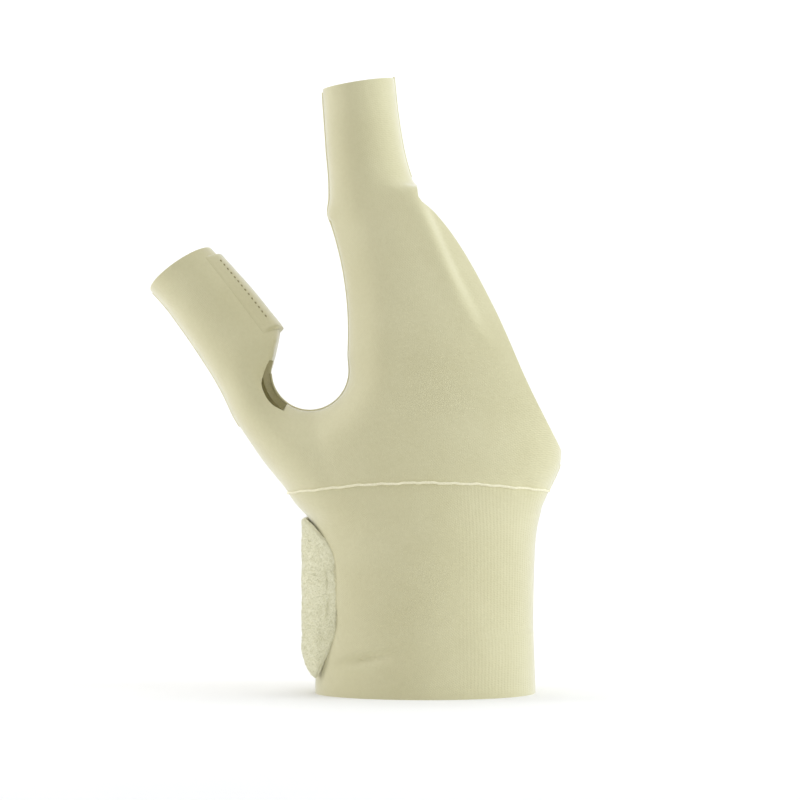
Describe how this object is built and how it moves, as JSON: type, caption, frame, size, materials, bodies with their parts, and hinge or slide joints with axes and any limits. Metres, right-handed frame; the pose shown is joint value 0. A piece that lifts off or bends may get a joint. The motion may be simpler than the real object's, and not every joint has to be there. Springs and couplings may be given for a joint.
{
  "type": "wrist splint",
  "caption": "Soft wrist splint with a cuff, a thumb sleeve, an index sleeve, an open side for the other fingers and a hook-and-loop strap.",
  "frame": {"origin": "centre of the cuff's lower opening", "axes": "+Z from the forearm to the fingers, -Y the dorsal side, +X the ulnar side away from the thumb"},
  "size_m": [0.1391, 0.0595, 0.2065],
  "materials": {
    "laminate_fabric": "smooth matt foam-backed jersey in pale khaki",
    "elastic_knit": "fine vertical rib elastic knit in pale khaki",
    "seam_edge": "raised cream cut edge of a joined seam",
    "loop_pile": "fuzzy loop pile of a hook-and-loop closure, paler than the fabric",
    "hook_tape": "moulded hook tape",
    "thread": "twisted polyester sewing thread, darker than the fabric",
    "stay_aluminium": "mill-finished aluminium strip",
    "cap_plastic": "dipped soft plastic end",
    "stay_plastic": "flexible moulded stay"
  },
  "bodies": {
    "root": {"cuff_dorsal_panel": "laminate_fabric", "cuff_palmar_panel": "laminate_fabric", "cuff_elastic_panel": "elastic_knit", "wrist_seam_edge": "seam_edge", "hand_dorsal_panel": "laminate_fabric", "hand_palmar_panel": "laminate_fabric", "web_gusset": "laminate_fabric", "index_sleeve_dorsal": "laminate_fabric", "index_sleeve_palmar": "laminate_fabric", "thumb_sleeve_dorsal": "laminate_fabric", "thumb_sleeve_palmar": "laminate_fabric", "thumb_seam_strip": "laminate_fabric", "thumb_seam_stitches": "thread", "loop_pad": "loop_pile", "strap_anchor": "elastic_knit", "strap_anchor_stitches": "thread", "palmar_stay_pocket": "laminate_fabric", "palmar_pocket_stitches": "thread", "thumb_stay_pocket": "laminate_fabric", "thumb_stay": "stay_plastic", "index_stay_pocket": "laminate_fabric", "index_stay": "stay_plastic"},
    "strap": {"wrist_strap": "elastic_knit"},
    "tab": {"strap_end_tab": "loop_pile", "hook_patch": "hook_tape"},
    "stay": {"palmar_stay": "stay_aluminium", "palmar_stay_caps": "cap_plastic"}
  },
  "joints": [
    {"name": "strap_swing", "type": "hinge", "parent": "root", "child": "strap", "pos_m": [0.027, 0.02485, 0.0359], "axis": [0, 0, -1], "range_deg": [0, 100]},
    {"name": "tab_peel", "type": "hinge", "parent": "strap", "child": "tab", "pos_m": [-0.0412, 0.002, 0.0359], "axis": [0, 0, -1], "range_deg": [0, 122]},
    {"name": "stay_slide", "type": "slide", "parent": "root", "child": "stay", "axis": [0, 0, 1], "range_m": [0, 0.09]}
  ],
  "couplings": [
    {"joint": "tab_peel", "follows": "strap_swing", "ratio": 1.2}
  ]
}
